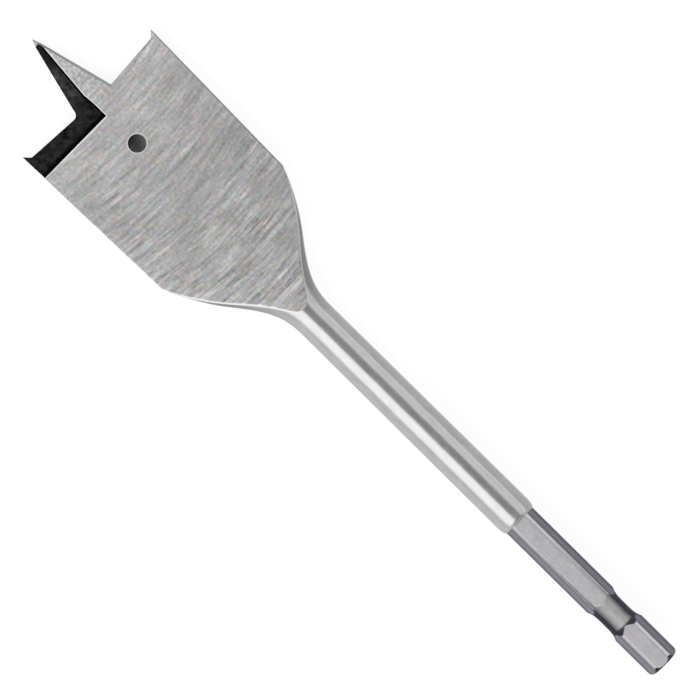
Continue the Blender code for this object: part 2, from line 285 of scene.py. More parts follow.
class SpadeBitBladeSizes(bpy.types.PropertyGroup):
    """Sizes of the shaft, the flare and the blade."""

    shank_length: metres("Shank length", "From the shank's end to the round shaft", 0.0395)
    shaft_length: metres("Shaft length", "Length of the round shaft up to the neck", 0.0549)
    flare_length: metres("Flare length", "From the neck to the blade's shoulders", 0.0259)
    blade_length: metres("Blade length", "From the shoulders to the roots of the lips", 0.0348)
    neck_radius: metres("Neck radius", "Radius of the shaft where the flare starts", 0.003975)
    thickness: metres("Blade thickness", "Distance between the two ground faces", 0.004)
    side_taper: metres("Side taper", "How far each side closes in from spur to shoulder", 0.0008)
    spur_reach: metres("Spur reach", "How far the spurs stand past the roots of the lips", 0.00205)
    face_past_shoulder: metres("Flat past shoulder", "How far the ground flat runs up the flare", 0.0104)
    runout_radius: metres("Run-out radius", "Radius of the grinding wheel where it leaves the flare", 0.038)
    end_round_length: metres("Shaft end length", "Length of the rounding at the shaft's rear end", 0.0021)
    end_round_drop: metres("Shaft end drop", "How far the rounding comes in at the sides", 0.0005)
    end_round_drop_top: metres("Top drop", "How far it comes in at the top, down to the flat", 0.0009)
    edge_break: metres("Edge break", "Width of the broken edges between faces and sides", 0.0001)
    roll_width: metres("Roll width", "Width of the rolled edges of the flare's faces", 0.00045)
    roll_drop: metres("Roll drop", "How far these rolled edges fall", 0.00014)
    nose_length: metres("Nose length", "From the tip back to where the cutting nose starts", 0.0339)


class SpadeBitShankSizes(bpy.types.PropertyGroup):
    """Sizes of the hex shank."""

    across_flats: metres("Across flats", "Width of the hex over two opposite flats", 0.00635)
    corner_radius: metres("Corner radius", "Distance from the axis to the eased corners", 0.003525)
    edge_break: metres("Edge break", "Width of the broken edges of the flats", 0.00008)
    round_length: metres("End rounding length", "Length of the rounding at the end", 0.0011)
    round_drop: metres("End rounding drop", "How far the rounding comes in at the end", 0.0009)
    groove_from_end: metres("Groove position", "From the end to the middle of the groove", 0.0137)
    groove_width: metres("Groove width", "Width of the groove at the corners", 0.0077)
    groove_power: FloatProperty(
        name="Groove power", description="Power with which the groove rises", default=4.0, min=2.0
    )
    groove_radius: metres("Groove bottom", "Distance from the axis to the groove's bottom", 0.00298)
    overlap: metres("Overlap", "How far the hex runs on inside the shaft", 0.001)


class SpadeBitColours(bpy.types.PropertyGroup):
    """Colours of the steel's finishes."""

    ground: colour("Ground steel", "Blade faces and flanks", (0.49, 0.483, 0.4825))
    turned: colour("Turned steel", "Round shaft and the sides of the flare", (0.46, 0.455, 0.455))
    # The lit colours of the shank and groove are painted light, and their shaded colours painted shade
    hex_bare: colour("Lit shank", "Top and bottom flats of the hex", (0.6, 0.585, 0.605))
    hex_skin: colour("Shank skin", "Side flats of the hex", (0.16, 0.15, 0.182))
    groove_bare: colour("Lit groove", "Top and bottom of the groove", (0.48, 0.465, 0.465))
    groove_skin: colour("Groove skin", "Flanks of the groove", (0.06, 0.062, 0.078))
    coat: colour("Black coat", "Floors of the hollows behind the cutting edges", (0.0145,) * 3)
    # The walls' colour is the black coat painted darker as shade
    coat_wall: colour("Coat on walls", "Walls of these hollows", (0.002,) * 3)


class SpadeBitStudio(bpy.types.PropertyGroup):
    """The floor, the lights and the camera."""

    floor: colour("Floor", "Colour of the pale floor", (0.93,) * 3)
    surround: brightness("Surround", "Brightness of the room", 0.45)
    left_box: brightness("Left softbox", "Brightness of its face", 1.5)
    right_box: brightness("Right softbox", "Brightness of its face", 0.8)
    front_box: brightness("Front softbox", "Brightness of its face", 0.3)
    camera_distance: metres("Camera distance", "From the camera to the bit", 0.9)
    view_width: metres("View width", "Width of the picture in the plane of the axis", 0.1354)


def places(sizes):
    """Where each stretch starts along the axis, as a dictionary of x."""
    shaft = sizes.shank_length
    neck = shaft + sizes.shaft_length
    shoulder = neck + sizes.flare_length
    spur = shoulder + sizes.blade_length + sizes.spur_reach
    seam = TIP_X - sizes.nose_length
    return {"shaft": shaft, "neck": neck, "shoulder": shoulder, "spur": spur, "seam": seam}


def falls(value, start, stop):
    """One up to start, nought from stop on and a straight fall between, elementwise."""
    return np.clip((stop - value) / (stop - start), 0.0, 1.0)


def side_half_width(x, sizes):
    """Half the blade's width: full at the spurs, less by the side taper at the shoulders, and a
    straight line between and beyond them."""
    at = places(sizes)
    return BLADE_HALF_WIDTH - sizes.side_taper * (at["spur"] - x) / (at["spur"] - at["shoulder"])


def flare_share(u):
    """Share of the flare's drop at u, the share of its length behind the shoulders. Each stretch
    of FLARE_CURVE is the cubic that has the values and the slopes given at its two ends."""
    share = np.zeros_like(u)
    for start, end in zip(FLARE_CURVE, FLARE_CURVE[1:]):
        span = end[0] - start[0]
        t = np.clip((u - start[0]) / span, 0.0, 1.0)
        first = 2 * t**3 - 3 * t**2 + 1
        value = first * start[1] + (1 - first) * end[1]
        value = value + span * ((t**3 - 2 * t**2 + t) * start[2] + (t**3 - t**2) * end[2])
        share = np.where(u >= start[0], value, share)
    return share


def half_width(x, sizes):
    """Half the forging's width: a slow taper from the shaft's radius to the neck's, then the flare's
    curve up to the shoulders, then the blade's sides."""
    at = places(sizes)
    share = np.clip((x - at["shaft"]) / sizes.shaft_length, 0.0, 1.0)
    shaft = SHAFT_RADIUS + (sizes.neck_radius - SHAFT_RADIUS) * share
    u = np.clip((at["shoulder"] - x) / sizes.flare_length, 0.0, 1.0)
    drop = side_half_width(at["shoulder"], sizes) - sizes.neck_radius
    flare = sizes.neck_radius + drop * flare_share(u)
    width = np.where(x <= at["neck"], shaft, flare)
    return np.where(x >= at["shoulder"], side_half_width(x, sizes), width)


def exponent(x, sizes):
    """The superellipse's exponent: round behind the neck, and square at the shoulders by a power of
    the share of the flare that lies behind."""
    u = np.clip((places(sizes)["shoulder"] - x) / sizes.flare_length, 0.0, 1.0)
    return ROUND_EXPONENT + (SQUARE_EXPONENT - ROUND_EXPONENT) * (1 - u) ** SQUARING_POWER


def face_height(x, sizes):
    """Height of the ground face: half the blade's thickness, and behind the flat the arc of the
    wheel's run-out, which rises as a circle of the run-out's radius."""
    behind = places(sizes)["shoulder"] - sizes.face_past_shoulder - x
    behind = np.clip(behind, 0.0, sizes.runout_radius)
    rise = sizes.runout_radius - np.sqrt(sizes.runout_radius**2 - behind**2)
    return sizes.thickness / 2 + rise


def side_height(x, sizes):
    """Half the forging's height before grinding, which stays the neck's along the flare."""
    return half_width(np.minimum(x, places(sizes)["neck"]), sizes)


def runout_end(sizes):
    """Where the run-out arc meets the top of the neck: the tip of the face's V."""
    rise = sizes.neck_radius - sizes.thickness / 2
    run = sqrt(2 * sizes.runout_radius * rise - rise**2)
    return places(sizes)["shoulder"] - sizes.face_past_shoulder - run


def body_stations(sizes):
    """Places of the rings along the body and the scales of each in Y and Z: a quarter ellipse rounds
    the shaft's rear end, and the rings lie closest where the face's V opens."""
    at = places(sizes)
    turn = np.linspace(0.0, pi / 2, SHOULDER_RINGS)
    end_x = at["shaft"] + sizes.end_round_length * (1 - np.cos(turn))
    drops = np.array([sizes.end_round_drop, sizes.end_round_drop_top])
    end_scale = 1 - (1 - np.sin(turn))[:, None] * drops / SHAFT_RADIUS
    shaft_x = np.linspace(end_x[-1], at["neck"], SHAFT_RINGS)[1:]
    opening = runout_end(sizes)
    to_opening = np.linspace(at["neck"], opening, NECK_RINGS)[1:]
    share = np.linspace(0.0, 1.0, FLARE_RINGS)[1:]
    flare_x = opening + (at["shoulder"] - opening) * share**FLARE_RING_POWER
    blade_x = np.linspace(at["shoulder"], at["seam"], BLADE_RINGS)[1:]
    inner_scale = np.full((1, 2), INNER_RING_SCALE)
    x = np.concatenate([[at["shaft"]], end_x, shaft_x, to_opening, flare_x, blade_x])
    scale = np.concatenate([inner_scale, end_scale, np.ones((len(x) - SHOULDER_RINGS - 1, 2))])
    return x, scale


def body_points(x, scale, sizes):
    """Grid of the body, one ring for each x. Round a ring run the right side, the upper face, the
    left side and the lower face. A side follows the superellipse |y/a|^p + |z/b|^p = 1, with z spread
    by the sine of an even angle. A small quadratic curve breaks its edge with each face, and along the
    flare it grows into a wide and shallow roll."""
    a = half_width(x, sizes)[:, None]
    b = side_height(x, sizes)[:, None]
    p = exponent(x, sizes)[:, None]
    top = np.minimum(face_height(x, sizes)[:, None], b)

    def width_at(z):
        return a * np.maximum(1 - np.abs(z / b) ** p, 0.0) ** (1 / p)

    crease = width_at(top)
    narrow = falls(top / b, *NARROW_HEIGHTS)
    rolled = np.clip((places(sizes)["shoulder"] - x[:, None]) / ROLL_GROWTH, 0.0, 1.0)
    rolled = rolled * falls(top / b, *ROLL_HEIGHTS)
    edge = sizes.edge_break * (NARROW_SHARE + (1 - NARROW_SHARE) * narrow)
    edge = edge + (sizes.roll_width - sizes.edge_break) * rolled
    edge = np.minimum(edge, crease / 4)
    fall = sizes.edge_break + (sizes.roll_drop - sizes.edge_break) * rolled
    side_top = top - np.minimum(fall, edge) * (crease > 0)
    angle = np.arcsin(np.clip(side_top / b, 0.0, 1.0))
    v = np.linspace(-1.0, 1.0, SIDE_COLUMNS)[None, :]
    side_z = side_top * np.sin(v * angle) / np.sin(angle)
    side_y = width_at(side_z)
    t = np.linspace(0.0, 1.0, BREAK_COLUMNS + 1)[None, 1:]
    corner = crease - edge * rolled / 2
    break_y = (1 - t) ** 2 * side_y[:, -1:] + 2 * t * (1 - t) * corner + t**2 * (crease - edge)
    break_z = (1 - t) ** 2 * side_top + (2 * t * (1 - t) + t**2) * top
    margin = np.minimum(FACE_MARGIN, crease / 4)
    across = np.linspace(1.0, -1.0, FACE_COLUMNS)[None, :]
    face_y = (crease - edge - margin) * across
    face_z = top * np.ones_like(across)
    right_y = np.concatenate([break_y[:, ::-1], side_y, break_y], axis=1)
    right_z = np.concatenate([-break_z[:, ::-1], side_z, break_z], axis=1)
    y = np.concatenate([right_y, face_y, -right_y[:, ::-1], -face_y], axis=1)
    z = np.concatenate([right_z, face_z, right_z[:, ::-1], -face_z], axis=1)
    ring_x = np.broadcast_to(x[:, None], y.shape)
    return np.stack([ring_x, y * scale[:, :1], z * scale[:, 1:]], axis=-1)


def grid_quads(rows, columns):
    """Corner numbers of the quads of a grid that closes round its columns."""
    row = np.arange(rows - 1)[:, None]
    column = np.arange(columns)[None, :]
    after = (column + 1) % columns
    corners = [row * columns + column, row * columns + after]
    corners += [(row + 1) * columns + after, (row + 1) * columns + column]
    return np.stack(corners, axis=-1).reshape(-1, 4)


def face_quads(rows, columns):
    """One flag for each quad of the body's grid: is it on a ground face, or on the inner half of the
    face's broken and rolled edges, and not on a side."""
    side = SIDE_COLUMNS + 2 * BREAK_COLUMNS
    inner = BREAK_COLUMNS // 2
    column = np.arange(columns)
    upper = (column >= side - 1 - inner) & (column < side + FACE_COLUMNS + inner)
    lower = (column >= 2 * side + FACE_COLUMNS - 1 - inner) | (column < inner)
    return np.tile(upper | lower, rows - 1)


def fill_ends(bm):
    """Fills each open end with one face."""
    open_edges = [edge for edge in bm.edges if edge.is_boundary]
    bmesh.ops.holes_fill(bm, edges=open_edges, sides=0)


def tube_mesh(name, points, second=None, closed=True):
    """A mesh from a grid of rings, with its doubles merged and, if it is closed, its ends filled. The
    flagged quads have the second material."""
    mesh = bpy.data.meshes.new(name)
    mesh.from_pydata(points.reshape(-1, 3).tolist(), [], grid_quads(*points.shape[:2]).tolist())
    if second is not None:
        mesh.polygons.foreach_set("material_index", second.astype(np.int32))
    bm = bmesh.new()
    bm.from_mesh(mesh)
    bmesh.ops.remove_doubles(bm, verts=bm.verts, dist=MERGE_DISTANCE)
    if closed:
        fill_ends(bm)
        bmesh.ops.recalc_face_normals(bm, faces=bm.faces)
    bm.to_mesh(mesh)
    bm.free()
    mesh.shade_smooth()
    mesh.set_sharp_from_angle(angle=SMOOTH_ANGLE)
    return mesh


def add_object(name, data):
    """An object in the scene."""
    made = bpy.data.objects.new(name, data)
    bpy.context.scene.collection.objects.link(made)
    return made


def add_piece(mesh, makers):
    """Puts a finished mesh in the scene as a piece that stands for the solid. Each of its materials
    has its maker's name, and is made once and then shared."""
    for maker in makers:
        found = bpy.data.materials.get(maker.__name__)
        mesh.materials.append(found or maker(bpy.context.scene.spade_bit_colours))
    piece = add_object(mesh.name, mesh)
    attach(piece, BODY)
    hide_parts(NODE)


def vectors_of(items, key):
    """One vector of each vertex or face, as the rows of an array."""
    numbers = np.empty(len(items) * 3)
    items.foreach_get(key, numbers)
    return numbers.reshape(-1, 3)


def hex_stations(shank, sizes):
    """Places of the hex's rings and the turned radius that limits each: the end's quarter ellipse,
    the groove and the eased corners. The groove rises from its bottom with a power of the distance
    from its middle. On the flats the rings are spread evenly by the flat's half width, the root of the
    turned radius squared less the apothem squared."""
    apothem = shank.across_flats / 2
    widest = sqrt(shank.corner_radius**2 - apothem**2)
    over_flats = np.sqrt(apothem**2 + (widest * np.linspace(0.0, 1.0, CORNER_RINGS)) ** 2)
    end_radius = shank.corner_radius - shank.round_drop
    rounded = np.concatenate([np.linspace(end_radius, apothem, END_RINGS)[:-1], over_flats])
    rise = (rounded - end_radius) / shank.round_drop
    rounded_x = shank.round_length * (1 - np.sqrt(np.maximum(1 - rise**2, 0.0)))
    depth = shank.corner_radius - shank.groove_radius
    power = shank.groove_power
    on_floor = ((apothem - shank.groove_radius) / depth) ** (1 / power)
    floor = depth * np.linspace(0.0, on_floor, GROOVE_RINGS // 3)[:-1] ** power
    half_arc = np.concatenate([shank.groove_radius + floor, over_flats])
    from_middle = ((half_arc - shank.groove_radius) / depth) ** (1 / power) * shank.groove_width / 2
    arc_x = np.concatenate([-from_middle[::-1], from_middle[1:]]) + shank.groove_from_end
    arc = np.concatenate([half_arc[::-1], half_arc[1:]])
    x = np.concatenate([rounded_x, arc_x, [sizes.shank_length + shank.overlap]])
    return x, np.concatenate([rounded, arc, [shank.corner_radius]])


def hex_points(x, radius, shank):
    """Grid of the hex shank, one ring for each x. Each of a ring's six parts has a flat, as far as the
    turned radius lets it reach, and then the turned corner. Between the two the last and first points
    stand an edge break apart, which rounds the edge."""
    apothem = shank.across_flats / 2
    reach = np.sqrt(np.maximum(radius**2 - apothem**2, 0.0))[:, None]
    edge = np.minimum(shank.edge_break, reach / 3)
    flat = (reach - edge) * np.linspace(-1.0, 1.0, FLAT_COLUMNS)[None, :]
    flat_out = np.minimum(apothem, radius)[:, None] * np.ones_like(flat)
    start = np.arctan2(reach, flat_out[:, :1]) + edge / radius[:, None]
    sector = 2 * pi / HEX_SIDES
    share = np.linspace(0.0, 1.0, CORNER_COLUMNS)[None, :]
    turn = start + (sector - 2 * start) * share
    along = np.concatenate([flat, radius[:, None] * np.sin(turn)], axis=1)
    out = np.concatenate([flat_out, radius[:, None] * np.cos(turn)], axis=1)
    parts = []
    for angle in sector * np.arange(HEX_SIDES):
        y = along * cos(angle) + out * sin(angle)
        z = out * cos(angle) - along * sin(angle)
        parts.append(np.stack([np.broadcast_to(x[:, None], y.shape), y, z], axis=-1))
    return np.concatenate(parts, axis=1)


def hollow_materials(mesh, sizes):
    """One material number for each face of the nose: 1 on the floors of the hollows behind the
    cutting edges, 2 on their walls and in the hang hole, 3 on the blade's sides and 0 elsewhere. The
    lower half is tested as the upper one after half a turn about the axis. A hollow's faces lie below
    the blade face and look up."""
    centre = vectors_of(mesh.polygons, "center")
    normal = vectors_of(mesh.polygons, "normal")
    turned = np.where(centre[:, 2] < 0, -1.0, 1.0)
    y = centre[:, 1] * turned
    z = centre[:, 2] * turned
    up = normal[:, 2] * turned
    below = z < sizes.thickness / 2 - HOLLOW_DEPTH_TEST
    own_side = (y > -HOLLOW_PAST_AXIS) & (normal[:, 1] * turned > HOLLOW_SIDE_TEST)
    chisel = (normal[:, 0] > CHISEL_TEST) & (centre[:, 0] > TIP_X - CHISEL_REACH)
    hollow = below & (up > HOLLOW_SLOPE_TEST) & own_side & ~chisel
    in_hole = np.hypot(centre[:, 0] - HANG_HOLE[0], centre[:, 1]) < HANG_HOLE_RADIUS
    wall = (hollow & (up < FLOOR_SLOPE_TEST)) | in_hole
    at_side = np.abs(centre[:, 1]) > BLADE_HALF_WIDTH - sizes.side_taper
    outer = (np.abs(normal[:, 1]) > SIDE_TEST) & at_side
    return np.select([wall, hollow, outer], [2, 1, 3], 0).astype(np.int32)


def mark_bare_steel(mesh, shank):
    """Gives each point its share of painted light, which falls with the angle round the axis from one on
    the top and bottom flats to nought on the sides, and is nought on the end's rounding and on the
    groove's rear flank, which are painted darker as shade. The groove's own points get a second share. A
    tone paints shade into the creases of the side flats, paints the lit side flats lighter, and paints
    the eased corners darker, most on the lit side."""
    x, y, z = vectors_of(mesh.vertices, "co").T
    angle = np.arctan2(np.abs(y), np.abs(z))
    sector = 2 * pi / HEX_SIDES
    turn = np.arctan2(y, z)
    from_flat = turn - sector * np.round(turn / sector)
    on_flat = np.hypot(y, z) * np.cos(from_flat) > shank.across_flats / 2 - MERGE_DISTANCE
    near = np.abs(x - shank.groove_from_end) < shank.groove_width / 2
    in_groove = near & ~on_flat
    on_end = (x < shank.round_length) & ~on_flat
    light_end = np.where(in_groove, GROOVE_LIGHT_END, FLAT_END)
    shade_start = np.where(in_groove, GROOVE_SHADE_START, SHADE_START)
    rear = falls((shank.groove_from_end - x) / (shank.groove_width / 2), *REAR_FLANK)
    share = falls(angle, light_end, shade_start) * np.where(in_groove, rear, 1.0) * ~on_end
    # Painted light and shade: the lit side flats lighter, the eased corners darker, most on the lit side,
    # and shade in the side flats' creases
    lit = y * z > 0
    flat_end = np.where(lit, LIT_CORNER_START, SHADED_CORNER_START)
    corner_start = np.where(in_groove, 0.0, flat_end)
    corner_end = np.where(in_groove, GROOVE_TURN, flat_end + CORNER_TURN)
    corner = 1 - falls(angle, corner_start, corner_end)
    tone = 1 + corner * np.where(lit, LIT_CORNER_TONE - 1, SHADED_CORNER_TONE - 1)
    crease = 1 - falls(np.abs(from_flat), CREASE_START, CREASE_START + CREASE_TURN)
    side_tone = np.where(lit, LIT_SIDE_TONE, 1.0) * (1 - CREASE_SHADE * crease)
    tone = np.where((angle > SHADE_START - CORNER_TURN) & ~in_groove, side_tone, tone)
    tone = np.where(on_end & (np.hypot(y, z) < shank.across_flats / 2), END_TONE, tone)
    for name, values in zip(ATTRIBUTES, (share, in_groove | on_end, tone)):
        layer = mesh.attributes.new(name, "FLOAT", "POINT")
        layer.data.foreach_set("value", values.astype(np.float32))


def nose_mesh(name, sizes):
    """The solid's own surface in front of the seam, with its flat facets joined and its sharp edges
    broken."""
    bm = bmesh.new()
    bm.from_mesh(SOLID)
    bmesh.ops.remove_doubles(bm, verts=bm.verts, dist=MERGE_DISTANCE)
    seam = Vector((places(sizes)["seam"], 0.0, 0.0))
    everything = [*bm.verts, *bm.edges, *bm.faces]
    forward = (1.0, 0.0, 0.0)
    bmesh.ops.bisect_plane(bm, geom=everything, plane_co=seam, plane_no=forward, clear_inner=True)
    bmesh.ops.dissolve_limit(bm, angle_limit=FLAT_ANGLE, verts=bm.verts, edges=bm.edges)
    sharp = [e for e in bm.edges if e.is_manifold and e.calc_face_angle(0.0) > BREAK_ANGLE]
    shape = {"offset": sizes.edge_break, "segments": BREAK_SEGMENTS, "profile": 0.5}
    bmesh.ops.bevel(
        bm, geom=sharp, offset_type="OFFSET", affect="EDGES", clamp_overlap=True, **shape
    )
    bmesh.ops.remove_doubles(bm, verts=bm.verts, dist=MERGE_DISTANCE / 4)
    fill_ends(bm)
    narrow = {face for face in bm.faces if 2 * face.calc_area() < STRIP_WIDTH * face.calc_perimeter()}
    for edge in bm.edges:
        rounded = all(face in narrow for face in edge.link_faces)
        limit = FILLET_ANGLE if rounded else CREASE_ANGLE
        edge.smooth = edge.calc_face_angle(pi) < limit
    before = set(bm.edges)
    bmesh.ops.triangulate(bm, faces=[f for f in bm.faces if len(f.verts) > 4])
    for edge in bm.edges:
        edge.smooth = edge.smooth or edge not in before
    for face in bm.faces:
        face.smooth = True
    mesh = bpy.data.meshes.new(name)
    bm.to_mesh(mesh)
    bm.free()
    mesh.attributes.remove(mesh.attributes["custom_normal"])
    return mesh


def link_or_set(tree, value, socket):
    """Feeds a socket from another node's output, or gives it a plain value."""
    if isinstance(value, bpy.types.NodeSocket):
        tree.links.new(value, socket)
    else:
        socket.default_value = value


def add_node(tree, kind, **values):
    """A shader node with settings, and with input values that are plain or other nodes' outputs."""
    column, row = divmod(len(tree.nodes), NODE_ROWS)
    node = tree.nodes.new(f"ShaderNode{kind}")
    node.location = (NODE_WIDTH * column, -NODE_HEIGHT * row)
    for key, value in values.items():
        if key in node.inputs:
            link_or_set(tree, value, node.inputs[key])
        else:
            setattr(node, key, value)
    return node


def opaque(base, share=1.0):
    """A share of a colour, with full alpha."""
    return (*(share * part for part in base), 1.0)


def new_material(name, base, roughness, metallic=1.0, specular=0.5):
    """A material, its tree and the inputs of its shader, which have their plain values."""
    material = bpy.data.materials.new(name)
    material.use_nodes = True
    inputs = material.node_tree.nodes["Principled BSDF"].inputs
    inputs["Base Color"].default_value = opaque(base)
    inputs["Roughness"].default_value = roughness
    inputs["Metallic"].default_value = metallic
    inputs["Specular IOR Level"].default_value = specular
    return material, material.node_tree, inputs


def reckon(tree, operation, *values):
    """One Math node on up to three values."""
    node = add_node(tree, "Math", operation=operation)
    for socket, value in zip(node.inputs, values):
        link_or_set(tree, value, socket)
    return node.outputs["Value"]


def product(tree, first, second):
    """One value times another."""
    return reckon(tree, "MULTIPLY", first, second)


def own_place(tree):
    """The place on the piece, in metres."""
    return add_node(tree, "TexCoord").outputs["Object"]


def parts_of(tree, vector):
    """The X, Y and Z of a vector."""
    return tuple(add_node(tree, "SeparateXYZ", Vector=vector).outputs)


def normal_parts(tree):
    """The X, Y and Z of the surface's normal."""
    return parts_of(tree, add_node(tree, "NewGeometry").outputs["Normal"])


def distance_from(tree, place, point):
    """Distance of a place from a point."""
    node = add_node(tree, "VectorMath", operation="DISTANCE")
    tree.links.new(place, node.inputs[0])
    node.inputs[1].default_value = point
    return node.outputs["Value"]


def noise_on(tree, vector, noise, output="Fac"):
    """Noise on a vector in metres, with a scale for each axis in cycles per metre."""
    scale, detail = noise
    scaled = add_node(tree, "Mapping", Vector=vector, Scale=scale).outputs["Vector"]
    values = {"Vector": scaled, "Scale": 1.0, "Detail": detail, "Roughness": NOISE_ROUGHNESS}
    return add_node(tree, "TexNoise", **values).outputs[output]


def spread(tree, value, low, high, start=0.3, stop=0.7):
    """A value from start to stop, where most of a noise lies, spread over low to high."""
    ends = {"From Min": start, "From Max": stop, "To Min": low, "To Max": high}
    return add_node(tree, "MapRange", Value=value, **ends).outputs["Result"]


def mixed(tree, factor, first, second, blend="MIX"):
    """One Mix node on two colours, each plain or from another node."""
    node = add_node(tree, "Mix", data_type="RGBA", blend_type=blend, Factor=factor)
    colours = [socket for socket in node.inputs if socket.type == "RGBA"]
    for socket, value in zip(colours, (first, second)):
        link_or_set(tree, value, socket)
    return next(socket for socket in node.outputs if socket.type == "RGBA")


def tinted(tree, base, *factors):
    """A colour times each of the factors, which are colours or values."""
    for factor in factors:
        base = mixed(tree, 1.0, base, factor, "MULTIPLY")
    return base


def mixed_shader(tree, factor, first, second):
    """One Mix Shader node."""
    node = add_node(tree, "MixShader")
    for socket, value in zip(node.inputs, (factor, first, second)):
        tree.links.new(value, socket)
    return node.outputs["Shader"]


def add_bump(tree, inputs, height, depth):
    """A bump of the given depth in metres on the shader's normal."""
    node = add_node(tree, "Bump", Strength=1.0, Distance=depth, Height=height)
    tree.links.new(node.outputs["Normal"], inputs["Normal"])


def window(tree, value, low, high, fade):
    """One where a value lies between low and high, with a straight fade outside on both sides."""
    rise = spread(tree, value, 0.0, 1.0, low - fade, low)
    return product(tree, rise, spread(tree, value, 1.0, 0.0, high, high + fade))


def bright_rims(tree, x, y, own_y):
    """Share of the highlights painted on the rims: along the hollow's wall, along the point's cutting
    edge, whose y is the lower of two straight lines in x, and round the hang hole."""
    corner, root, tip = HOLLOW_EDGE
    first = spread(tree, x, corner[1], root[1], corner[0], root[0])
    second = spread(tree, x, root[1], tip[1], root[0], tip[0])
    edge_y = reckon(tree, "MINIMUM", first, second)
    inside = reckon(tree, "SUBTRACT", edge_y, own_y)
    on_edge = window(tree, inside, -RIM_FADE, RIM_WIDTH - RIM_FADE, RIM_FADE)
    along_point = product(tree, on_edge, window(tree, x, WALL_X, tip[0], RIM_FADE))
    on_wall = window(tree, x, WALL_X - RIM_WIDTH, WALL_X, RIM_FADE)
    past_axis = spread(tree, own_y, 0.0, 1.0, corner[1] - RIM_FADE, corner[1])
    reach = product(tree, past_axis, spread(tree, own_y, *WALL_RIM))
    along_wall = product(tree, on_wall, reach)
    place = add_node(tree, "CombineXYZ", X=x, Y=y).outputs["Vector"]
    ring = spread(tree, distance_from(tree, place, (HANG_HOLE[0], 0.0, 0.0)), *HOLE_RIM)
    return reckon(tree, "MAXIMUM", reckon(tree, "MAXIMUM", along_point, along_wall), ring)


def dark_side_line(tree, x, own_y):
    """Share of the painted shade line along one side of each face, which follows the blade's taper."""
    past = reckon(tree, "ADD", own_y, spread(tree, x, *SIDE_LINE_Y))
    return product(tree, spread(tree, past, *SIDE_LINE), SIDE_LINE_SHADE)


def ground_finish(colours):
    """Steel ground across the axis. The wheel's marks are arcs that bow towards the shank, so their
    noise is read at x less y squared over twice the arc's radius, finely, and at y, coarsely. They
    come out stronger in patches, and towards the flare. An even grain with a faint play of colour
    lies over them, strongest on the point. The steep flanks are painted darker as shade. The painted
    highlights on the rims and the painted shade line along one side take the lower face as the upper
    one after half a turn about the axis, and stay off the steep flanks."""
    material, tree, inputs = new_material("ground_finish", colours.ground, roughness=0.4)
    place = own_place(tree)
    x, y, z = parts_of(tree, place)
    along = reckon(tree, "MULTIPLY_ADD", product(tree, y, y), -0.5 / GRIND_RADIUS, x)
    arcs = add_node(tree, "CombineXYZ", X=along, Y=y, Z=z).outputs["Vector"]
    patches = noise_on(tree, place, GRIND_PATCHES)
    patchy = spread(tree, patches, *MARKS_IN_PATCHES)
    strength = product(tree, patchy, spread(tree, x, *MARKS_ALONG))
    bands = noise_on(tree, arcs, GRIND_BANDS)
    marks = reckon(tree, "MULTIPLY_ADD", noise_on(tree, arcs, GRIND_SCRATCHES), SCRATCH_SHARE, bands)
    centred = reckon(tree, "SUBTRACT", marks, (1.0 + SCRATCH_SHARE) / 2)
    relief = product(tree, centred, strength)
    uneven = reckon(tree, "SUBTRACT", noise_on(tree, place, GROUND_SPECKLE), 0.5)
    speckled = reckon(tree, "MULTIPLY_ADD", uneven, spread(tree, x, *SPECKLE_ALONG), 1.0)
    shade = reckon(tree, "MULTIPLY_ADD", relief, MARK_SHADE, speckled)
    grain = noise_on(tree, place, GROUND_GRAIN, "Color")
    grainy = mixed(tree, GRAIN_SHARE, (0.5, 0.5, 0.5, 1.0), grain)
    doubled = mixed(tree, 1.0, grainy, grainy, "ADD")
    lighter = product(tree, spread(tree, x, *LIGHTER_ALONG), spread(tree, x, *DARKER_TIP))
    tint = tinted(tree, opaque(colours.ground), shade, doubled, lighter)
    # Painted shade on the steep flanks
    upright = reckon(tree, "ABSOLUTE", normal_parts(tree)[2])
    on_face = spread(tree, upright, *ON_FACE)
    tint = mixed(tree, on_face, opaque(colours.ground, PAINTED_FLANK_SHADE), tint)
    # A painted shade line along one side of each face, and highlights painted on the rims
    own_y = product(tree, y, reckon(tree, "SIGN", z))
    line = dark_side_line(tree, x, own_y)
    highlights = bright_rims(tree, x, y, own_y)
    for share, ink in ((line, SIDE_SHADE_COLOUR), (highlights, HIGHLIGHT_COLOUR)):
        tint = mixed(tree, product(tree, share, on_face), tint, ink)
    tree.links.new(tint, inputs["Base Color"])
    tree.links.new(spread(tree, patches, *GROUND_ROUGHNESS), inputs["Roughness"])
    add_bump(tree, inputs, relief, GRIND_DEPTH)
    return material


def turned_finish(colours):
    """Smooth satin steel with very fine lines round the shaft and soft cloudy patches. Painted shade
    darkens the flare where it is steep, more on one side than on the other."""
    material, tree, inputs = new_material("turned_finish", colours.turned, roughness=0.24)
    place = own_place(tree)
    clouds = noise_on(tree, place, TURNED_CLOUDS)
    steel = tinted(tree, opaque(colours.turned), spread(tree, clouds, *CLOUD_SHADE))
    x, _, z = parts_of(tree, place)
    normal = normal_parts(tree)
    sideways = product(tree, normal[1], reckon(tree, "SIGN", z))
    upwards = reckon(tree, "ABSOLUTE", normal[2])
    # Painted shade where the flare is steep, more on one side than on the other
    painted_shade = 0.0
    for lean, slopes, growth in FLARE_SHADE_BANDS:
        level = reckon(tree, "MULTIPLY_ADD", sideways, lean, upwards)
        steep = spread(tree, level, 1.0, 0.0, *slopes)
        grown = product(tree, steep, spread(tree, x, *growth))
        painted_shade = reckon(tree, "MAXIMUM", painted_shade, grown)
    tree.links.new(mixed(tree, painted_shade, steel, FLARE_SHADE_COLOUR), inputs["Base Color"])
    tree.links.new(spread(tree, clouds, *CLOUD_ROUGHNESS), inputs["Roughness"])
    add_bump(tree, inputs, noise_on(tree, place, TURNED_LINES), TURNED_DEPTH)
    return material


